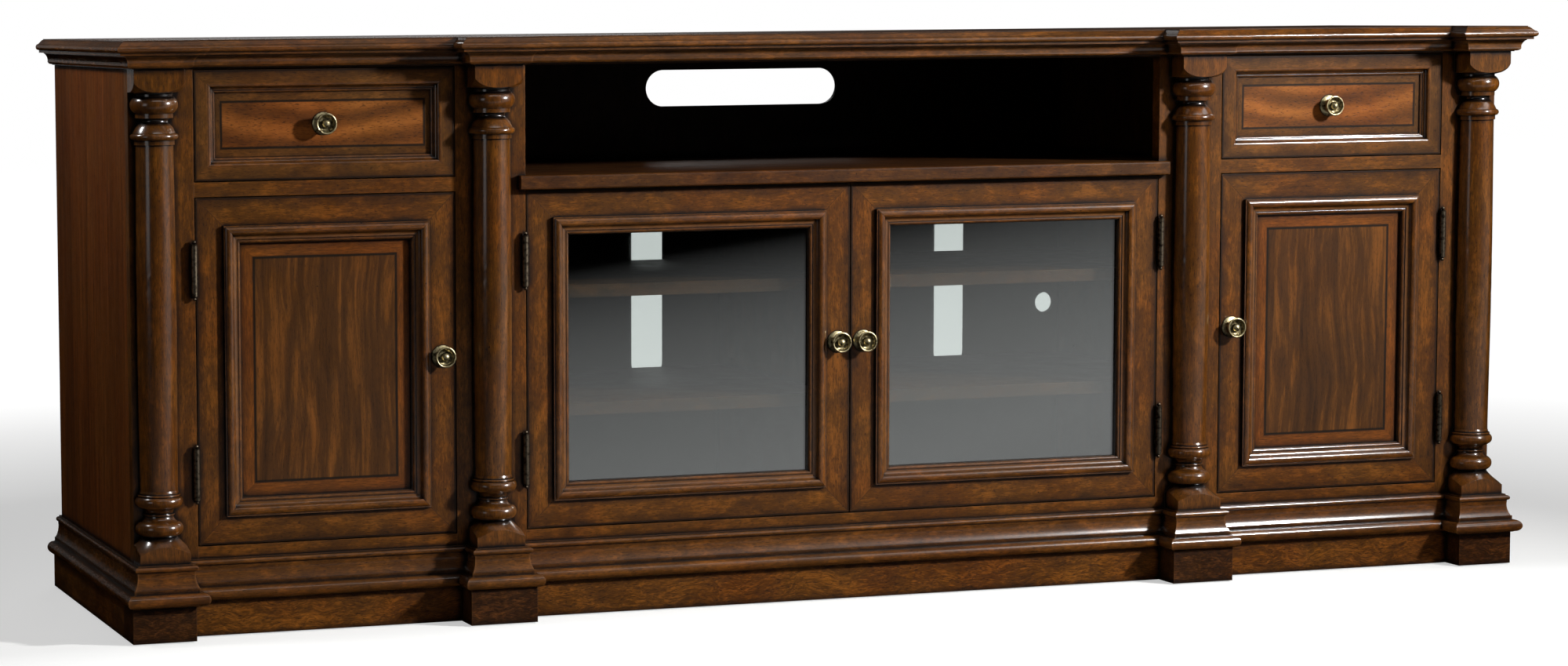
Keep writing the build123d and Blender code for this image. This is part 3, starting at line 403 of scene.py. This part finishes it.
def agedMetal(name, look):
    # tarnish lies in the hollows and in patches; what is touched is bright
    material, tree = newMaterial(name)
    coords = add(tree, "ShaderNodeTexCoord")
    hollow = add(tree, "ShaderNodeAmbientOcclusion", {"Distance": look["reach"]}, samples=6)
    tarnish = add(tree, "ShaderNodeTexNoise", {
        "Vector": coords.outputs["Object"], "Scale": look["patchesPerMetre"], "Detail": 5.0})
    mixed = add(tree, "ShaderNodeMath", [hollow.outputs["AO"], tarnish], operation="MULTIPLY")
    colour = add(tree, "ShaderNodeValToRGB", [mixed], stops=look["stops"])
    bright, dull = look["roughness"]
    rough = add(tree, "ShaderNodeMapRange", [mixed, *patina["shineEdges"], dull, bright])
    bump = add(tree, "ShaderNodeBump", {
        "Height": tarnish, "Strength": patina["bump"], "Distance": patina["bumpHeight"]})
    surface = add(tree, "ShaderNodeBsdfPrincipled", {
        "Base Color": colour, "Metallic": look["metallic"], "Roughness": rough, "Normal": bump})
    add(tree, "ShaderNodeOutputMaterial", {"Surface": surface})
    return material


# reach: how far from an inner corner tarnish lies, in metres; its patches are 3 to 8 mm wide
metals = {
    # spun brass, darkened and rubbed bright on its rings
    "antiqueBrass": dict(
        reach=0.006, patchesPerMetre=260.0, metallic=1.0, roughness=(0.36, 0.5),
        stops=[(0.14, "#0f0b06"), (0.33, "#4f442c"), (0.52, "#c8ba90")],
        pieces=bothSides("drawer_knob", "door_knob", "glass_door_knob")),
    # stamped hinge leaves, blackened: brown-black with a dull gleam
    "blackenedBronze": dict(
        reach=0.006, patchesPerMetre=200.0, metallic=1.0, roughness=(0.35, 0.6),
        stops=[(0.1, "#0f0b08"), (0.34, "#211a13"), (0.55, "#6a5f50")],
        pieces=["hinge_fixed_leaves", "hinge_pins"] + bothSides(
            "door_hinge_leaves", "glass_door_hinge_leaves")),
    # rolled steel, zinc plated: pale grey and bright
    "zincPlatedSteel": dict(
        reach=0.004, patchesPerMetre=120.0, metallic=1.0, roughness=(0.25, 0.4),
        stops=[(0.1, "#6f7276"), (0.35, "#9a9da1"), (0.6, "#c2c4c6")],
        pieces=["shelf_pins", "slide_outer_members"] + bothSides(
            "slide_inner_members", "slide_middle_members")),
    # moulded nylon: dark brown, slightly shiny
    "darkNylon": dict(
        reach=0.004, patchesPerMetre=300.0, metallic=0.0, roughness=(0.4, 0.6),
        stops=[(0.1, "#0f0c0a"), (0.35, "#1c1714"), (0.6, "#2a2420")],
        pieces=["door_catches", "floor_glides"]),
}
for name, look in metals.items():
    dress(look["pieces"], agedMetal(name, look))
print("metals made:", len(metals))


# slotted screw heads: three to a hinge leaf, one behind each knob; sizes and places in metres
screws = {
    "leafHead": (0.00275, 0.0004),         # oval heads, radius and how far they stand proud
    "knobHead": (0.0040, 0.0012),
    "slotWidth": 0.3, "slotDepth": 0.55,   # parts of the radius and of the height
    "segments": 24, "rings": 12,
    "turn": 3.14, "seed": 4,               # a slot may be turned by up to half a turn
    "leafDepth": -0.197, "leafStagger": 0.0025,   # the middle of three, and how far back the others are
    "leafLevels": (0.223, 0.5015), "leafSpacing": 0.023,
    # by door: the faces of its own leaves and of the frame's, and its knob's distance from the middle
    "doors": {"door": (0.965, 0.9665, 0.615), "glass_door": (0.4905, 0.492, 0.020)},
    "knobDepth": -0.184, "knobLevel": 0.372,
    "drawerKnob": (0.7805, -0.174, 0.697),
}


def screwGroup():
    group = bpy.data.node_groups.new("screwHeads", "GeometryNodeTree")
    for label, kind, way in (
            ("Points", "NodeSocketGeometry", "INPUT"), ("Slot Width", "NodeSocketFloat", "INPUT"),
            ("Slot Depth", "NodeSocketFloat", "INPUT"), ("Seed", "NodeSocketInt", "INPUT"),
            ("Material", "NodeSocketMaterial", "INPUT"), ("Heads", "NodeSocketGeometry", "OUTPUT")):
        group.interface.new_socket(label, in_out=way, socket_type=kind)
    given = add(group, "NodeGroupInput")
    # a ball of radius 1 with a slot across its top, squashed to each head's own size
    ball = add(group, "GeometryNodeMeshUVSphere", [screws["segments"], screws["rings"], 1.0])
    bar = add(group, "ShaderNodeCombineXYZ", [3.0, given.outputs["Slot Width"], 2.0])
    cutter = add(group, "GeometryNodeMeshCube", {"Size": bar})
    low = add(group, "ShaderNodeMath", [2.0, given.outputs["Slot Depth"]], operation="SUBTRACT")
    raised = add(group, "ShaderNodeCombineXYZ", {"Z": low})
    cutter = add(group, "GeometryNodeTransform", {
        "Geometry": cutter.outputs["Mesh"], "Translation": raised})
    head = add(group, "GeometryNodeMeshBoolean", {"Mesh 1": ball.outputs["Mesh"], "Mesh 2": cutter},
               operation="DIFFERENCE")
    facing, size = [
        add(group, "GeometryNodeInputNamedAttribute", {"Name": label}, data_type="FLOAT_VECTOR")
        for label in ("facing", "size")]
    upright = add(group, "FunctionNodeAlignRotationToVector", {"Vector": facing.outputs["Attribute"]},
                  axis="Z")
    turn = add(group, "FunctionNodeRandomValue", {
        2: 0.0, 3: screws["turn"], "Seed": given.outputs["Seed"]}, data_type="FLOAT")
    spin = add(group, "ShaderNodeCombineXYZ", {"Z": turn.outputs[1]})
    spin = add(group, "FunctionNodeEulerToRotation", {"Euler": spin})
    turned = add(group, "FunctionNodeRotateRotation", {"Rotation": upright, "Rotate By": spin},
                 rotation_space="LOCAL")
    placed = add(group, "GeometryNodeInstanceOnPoints", {
        "Points": given.outputs["Points"], "Instance": head.outputs["Mesh"], "Rotation": turned,
        "Scale": size.outputs["Attribute"]})
    real = add(group, "GeometryNodeRealizeInstances", {"Geometry": placed})
    dressed = add(group, "GeometryNodeSetMaterial", {"Geometry": real, "Material": given.outputs["Material"]})
    add(group, "NodeGroupOutput", {"Heads": dressed})
    return group


def screwHeads(group, name, body, heads, material):
    points = bpy.data.meshes.new(name + "Points")
    points.from_pydata([place for place, facing, size in heads], [], [])
    for label, column in (("facing", 1), ("size", 2)):
        values = points.attributes.new(label, "FLOAT_VECTOR", "POINT")
        values.data.foreach_set("vector", [n for head in heads for n in head[column]])
    maker = bpy.data.objects.new(name + "Maker", points)
    bpy.context.scene.collection.objects.link(maker)
    modifier = maker.modifiers.new("heads", "NODES")
    modifier.node_group = group
    chosen = {"Slot Width": screws["slotWidth"], "Slot Depth": screws["slotDepth"], "Seed": screws["seed"],
              "Material": material}
    for item in group.interface.items_tree:
        if item.in_out == "INPUT" and item.name in chosen:
            modifier[item.identifier] = chosen[item.name]
    graph = bpy.context.evaluated_depsgraph_get()
    mesh = bpy.data.meshes.new_from_object(maker.evaluated_get(graph))
    maker.modifiers.remove(modifier)
    bpy.data.objects.remove(maker)
    mesh.name = name
    piece = bpy.data.objects.new(name, mesh)
    bpy.context.scene.collection.objects.link(piece)
    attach(piece, body)
    print(name, "heads:", len(heads), "triangles:", sum(len(p.vertices) - 2 for p in mesh.polygons))


def leafScrews(face, way):
    radius, rise = screws["leafHead"]
    heads = []
    for level in screws["leafLevels"]:
        for step in (-1, 0, 1):
            depth = screws["leafDepth"] + screws["leafStagger"] * (step % 2)
            place = (face, depth, level + step * screws["leafSpacing"])
            heads.append((place, (way, 0, 0), (radius, radius, rise)))
    return heads


def knobScrew(x, y, z):
    radius, rise = screws["knobHead"]
    return (x, y, z), (0, 1, 0), (radius, radius, rise)


group = screwGroup()
bronze = bpy.data.materials["blackenedBronze"]
onFrame = []
for side, sign in (("left", -1), ("right", 1)):
    for door, (leafFace, frameFace, knobX) in screws["doors"].items():
        onFrame += leafScrews(sign * frameFace, -sign)
        onDoor = leafScrews(sign * leafFace, sign)
        onDoor.append(knobScrew(sign * knobX, screws["knobDepth"], screws["knobLevel"]))
        screwHeads(group, side + "_" + door + "_screws", side + "_" + door, onDoor, bronze)
    x, y, z = screws["drawerKnob"]
    screwHeads(group, side + "_drawer_screw", side + "_drawer", [knobScrew(sign * x, y, z)], bronze)
screwHeads(group, "frame_screws", "cabinet", onFrame, bronze)
print("screws made")


# clear float glass: reflections on both faces, faint green in the thickness
glassLook = {"tint": "#e8f2ee", "coat": 1.0, "coatRoughness": 0.02, "coatIor": 2.6}


def floatGlass(name, look):
    material, tree = newMaterial(name)
    path = add(tree, "ShaderNodeLightPath")
    clear = add(tree, "ShaderNodeBsdfPrincipled", {
        "Base Color": look["tint"], "Roughness": 0.0, "IOR": 1.5, "Transmission Weight": 1.0,
        "Coat Weight": look["coat"], "Coat Roughness": look["coatRoughness"], "Coat IOR": look["coatIor"]})
    through = add(tree, "ShaderNodeBsdfTransparent", {"Color": look["tint"]})
    mixed = add(tree, "ShaderNodeMixShader", [path.outputs["Is Shadow Ray"], clear, through])
    add(tree, "ShaderNodeOutputMaterial", {"Surface": mixed})
    return material


dress(bothSides("glass_pane"), floatGlass("floatGlass", glassLook))
print("glass made")


# floor, background and light; places in metres, pairs are from and to
studio = {
    "floorReach": 14.0, "floorColour": "#c4c4c2",
    "paintedShadeGlow": 0.50,             # how much the floor shines by itself beside and behind the console, lower than in front: painted shade there as well as the real shadow
    "whiteFar": (1.5, 3.2),         # how far off it turns to the white of the background,
    "whiteInFront": (-0.25, -0.7),  # and where in front
    "paintedReflectionGlow": 0.42,           # a painted reflection: the floor glows for rays that lacquer and glass mirror, brightest in front
    "paintedReflectionStart": (-0.9, -1.5),
    "paintedReflectionEnd": (-0.8, -4.6),    # in x + y, so that it reaches further on the right
    "backdropEdge": (0.985, 0.995),
    "dimLevel": 0.035,              # the dark side of the studio
    "mirroredDim": 0.02,            # the same, as lacquer and glass reflect it
}


def lightPaths(tree, place):
    # rays straight from the camera, those through a pane to what is behind it, and those mirrored or bent
    path = add(tree, "ShaderNodeLightPath")
    split = add(tree, "ShaderNodeSeparateXYZ", [place])
    behind = add(tree, "ShaderNodeMath", [split.outputs[1], 0.0], operation="GREATER_THAN")
    bent = path.outputs["Is Transmission Ray"]
    through = add(tree, "ShaderNodeMath", [bent, behind], operation="MULTIPLY")
    straight = add(tree, "ShaderNodeMath", [path.outputs["Is Camera Ray"], through], operation="MAXIMUM")
    glossy = path.outputs["Is Glossy Ray"]
    bounced = add(tree, "ShaderNodeMath", [glossy, bent], operation="MAXIMUM")
    return split, straight, glossy, bounced


mesh = bpy.data.meshes.new("studioFloor")
reach = studio["floorReach"]
mesh.from_pydata([(-reach, -reach, 0), (reach, -reach, 0), (reach, reach, 0), (-reach, reach, 0)],
                 [], [(0, 1, 2, 3)])
floor = bpy.data.objects.new("studioFloor", mesh)
bpy.context.scene.collection.objects.link(floor)
material, tree = newMaterial("paintedFloor")
place = add(tree, "ShaderNodeTexCoord").outputs["Object"]
split, straight, glossy, bounced = lightPaths(tree, place)
# seen directly the floor is the white of the background in front and far off; beside and behind the console
# it shines less by itself, so it keeps the console's real shadow and is painted greyer there as shade
away = add(tree, "ShaderNodeVectorMath", [place], operation="LENGTH")
far = add(tree, "ShaderNodeMapRange", [away.outputs["Value"], *studio["whiteFar"]])
front = add(tree, "ShaderNodeMapRange", [split.outputs[1], *studio["whiteInFront"]])
clear = add(tree, "ShaderNodeMath", [far, front], operation="MAXIMUM")
glow = add(tree, "ShaderNodeMapRange", {"Value": clear, "To Min": studio["paintedShadeGlow"], "To Max": 1.0})
straight = add(tree, "ShaderNodeMath", [straight, glow], operation="MULTIPLY")
# mirrored in lacquer and glass the floor glows as a painted reflection, bright a little in front of the
# console, and dark further off and to the left
near = add(tree, "ShaderNodeMapRange", [split.outputs[1], *studio["paintedReflectionStart"]])
depth = add(tree, "ShaderNodeMath", [split.outputs[0], split.outputs[1]], operation="ADD")
paintedReflection = add(tree, "ShaderNodeMapRange", [depth, *studio["paintedReflectionEnd"], studio["paintedReflectionGlow"], 0.0])
paintedReflection = add(tree, "ShaderNodeMath", [near, paintedReflection], operation="MULTIPLY")
paintedReflection = add(tree, "ShaderNodeMath", [bounced, paintedReflection], operation="MULTIPLY")
seen = add(tree, "ShaderNodeMath", [straight, paintedReflection], operation="ADD")
paint = add(tree, "ShaderNodeBsdfDiffuse", {"Color": studio["floorColour"]})
light = add(tree, "ShaderNodeEmission", {"Strength": seen})
lit = add(tree, "ShaderNodeAddShader", [paint, light])
# what is mirrored is the glow alone, the painted reflection, without the lamps' light on the paint
both = add(tree, "ShaderNodeMixShader", [glossy, lit, light])
add(tree, "ShaderNodeOutputMaterial", {"Surface": both})
mesh.materials.append(material)

world = bpy.data.worlds.new("studio")
bpy.context.scene.world = world
world.use_nodes = True
tree = world.node_tree
tree.nodes.clear()
split, straight, glossy, bounced = lightPaths(tree, add(tree, "ShaderNodeTexCoord").outputs["Generated"])
# the white backdrop stands behind the console; metal and glass show it from there
backdrop = add(tree, "ShaderNodeMapRange", [split.outputs[1], *studio["backdropEdge"]])
backdrop = add(tree, "ShaderNodeMath", [glossy, backdrop], operation="MULTIPLY")
seen = add(tree, "ShaderNodeMath", [straight, backdrop], operation="MAXIMUM")
dim = add(tree, "ShaderNodeMapRange", {
    "Value": bounced, "To Min": studio["dimLevel"], "To Max": studio["mirroredDim"]})
level = add(tree, "ShaderNodeMapRange", {"Value": seen, "To Min": dim, "To Max": 1.0})
sky = add(tree, "ShaderNodeBackground", {"Color": "#ffffff", "Strength": level})
add(tree, "ShaderNodeOutputWorld", {"Surface": sky})

# place, what it points at, width and height in metres, watts, spread in degrees
lamps = {
    "keyLight": ((2.0, -1.9, 1.6), (-0.85, -0.2, 0.45), (0.22, 0.26), 39, 88),
    "rightStrip": ((2.1, -0.9, 2.1), (0.8, -0.25, 0.1), (1.1, 0.60), 2.5, 120),
    "leftStrip": ((-3.5, -1.9, 1.0), (-1.0, -0.1, 0.6), (1.0, 1.3), 4, 180),
    "sideLight": ((-1.75, 0.05, 1.4), (-1.06, 0.0, 0.80), (0.2, 0.2), 1.3, 75),
    "frontLight": ((0.2, -2.2, 2.9), (0.2, -0.2, 0.4), (4.0, 0.24), 11, 180),
    "topLight": ((0.0, -0.4, 3.2), (0.0, -0.2, 0.0), (3.0, 1.4), 4, 180),
    "backLight": ((0.5, 3.6, 2.2), (0.0, 0.3, 0.4), (1.5, 1.0), 14, 180),
}
for name, (place, target, size, watts, spread) in lamps.items():
    lamp = bpy.data.lights.new(name, "AREA")
    lamp.shape = "RECTANGLE"
    lamp.size, lamp.size_y = size
    lamp.energy = watts
    lamp.spread = math.radians(spread)
    holder = bpy.data.objects.new(name, lamp)
    holder.location = place
    holder.rotation_euler = (Vector(target) - Vector(place)).to_track_quat("-Z", "Y").to_euler()
    bpy.context.scene.collection.objects.link(holder)

# the photograph's viewpoint, left of the middle and a little above the top; angles in radians, lens in mm
view = {
    "place": (-2.1073, -4.8377, 0.8481), "turn": 0.2840, "dip": 0.0907, "roll": -0.0087,
    "lens": 80.89, "sensor": 36, "shift": 0.28,
}
lens = bpy.data.cameras.new("camera")
lens.sensor_fit = "HORIZONTAL"
lens.sensor_width = view["sensor"]
lens.lens = view["lens"]
lens.shift_x = view["shift"]
camera = bpy.data.objects.new("camera", lens)
camera.matrix_world = (
    Matrix.Translation(view["place"]) @ Matrix.Rotation(-view["turn"], 4, "Z")
    @ Matrix.Rotation(math.pi / 2 - view["dip"], 4, "X") @ Matrix.Rotation(view["roll"], 4, "Z"))
bpy.context.scene.collection.objects.link(camera)
bpy.context.scene.camera = camera
bpy.context.scene.view_settings.view_transform = "Standard"
print("studio made")
